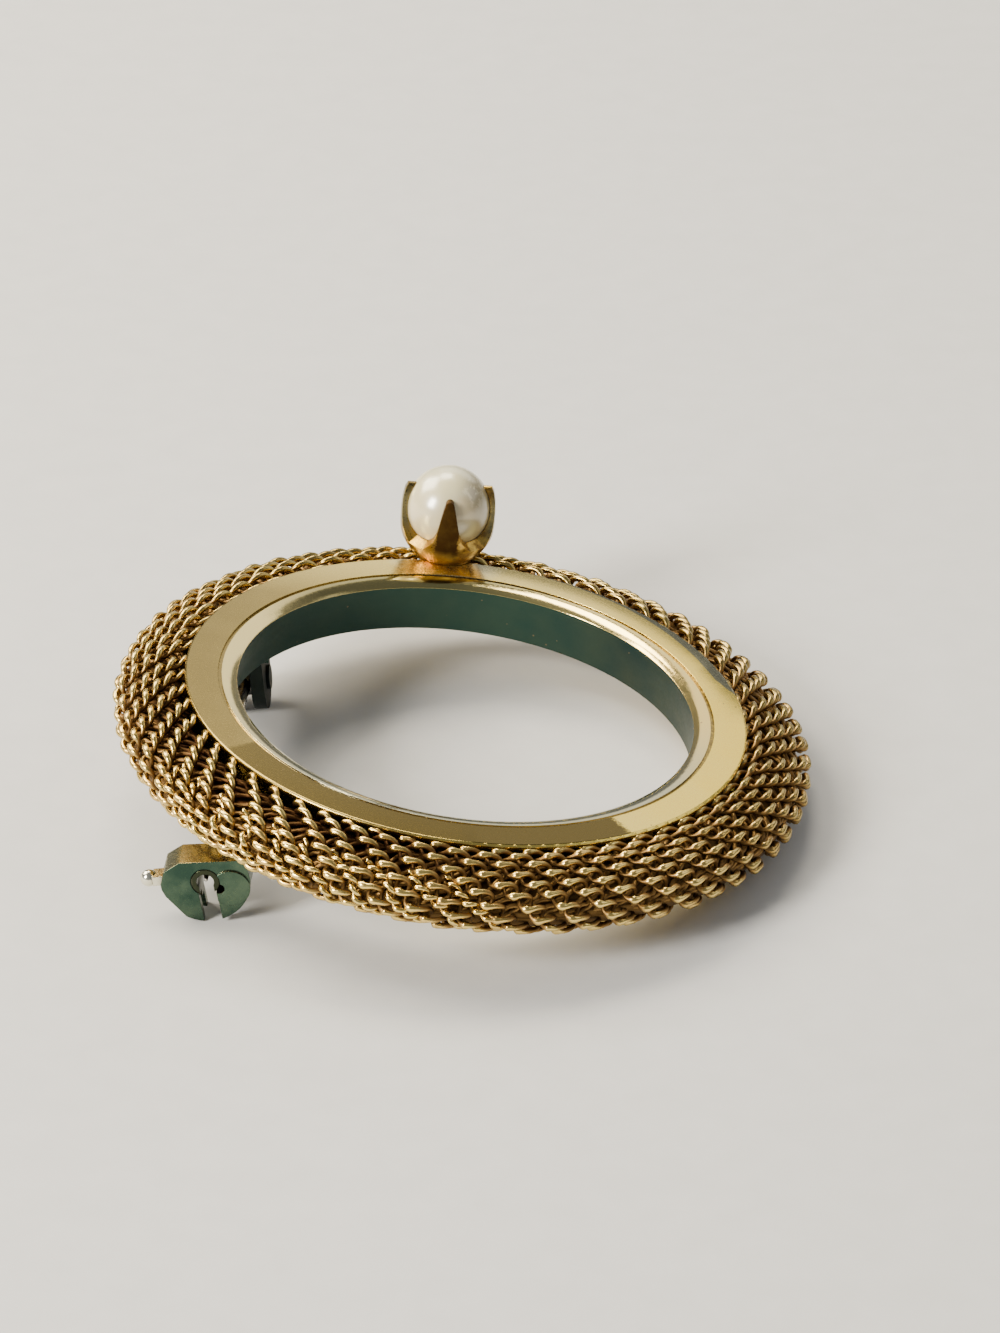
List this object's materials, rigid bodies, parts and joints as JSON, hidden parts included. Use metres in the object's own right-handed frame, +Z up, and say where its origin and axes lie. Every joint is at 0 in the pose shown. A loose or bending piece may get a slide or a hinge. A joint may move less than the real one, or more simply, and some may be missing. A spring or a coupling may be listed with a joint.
{
  "type": "brooch",
  "caption": "Circle brooch of a polished ring inside a curled collar of woven wire mesh, with a claw-set pearl on the rim and a hinged pin with a roller catch behind.",
  "frame": {"origin": "on the surface that the brooch lies on, under the middle of its box", "axes": "+Z up from the surface, +X right, +Y away from the front; the pin runs along Y under the ring's left side"},
  "size_m": [0.041, 0.0414, 0.0124],
  "materials": {
    "polished_gold": "polished pale gold plate, lightly scuffed on the face",
    "mesh_gold": "twisted gold-plated wire, darker between the strands",
    "setting_gold": "polished, more coppery",
    "pearl": "pearl lustre, cream with a warm blush",
    "pin_metal": "drawn steel wire",
    "catch_metal": "polished"
  },
  "bodies": {
    "brooch": {"frame_ring": "polished_gold", "mesh_collar": "mesh_gold", "pearl_setting": "setting_gold", "pearl": "pearl"},
    "pin": {"pin_stem": "pin_metal"},
    "roller": {"catch_roller": "catch_metal"}
  },
  "joints": [
    {"name": "pin_hinge", "type": "hinge", "parent": "brooch", "child": "pin", "pos_m": [-0.01323, 0.01023, 0.00202], "axis": [0.9953, -0.0527, 0.0814], "range_deg": [0, 75]},
    {"name": "catch_turn", "type": "hinge", "parent": "brooch", "child": "roller", "pos_m": [-0.01449, -0.01263, 0.00259], "axis": [-0.0548, -0.9982, 0.0247], "range_deg": [0, 95]}
  ]
}
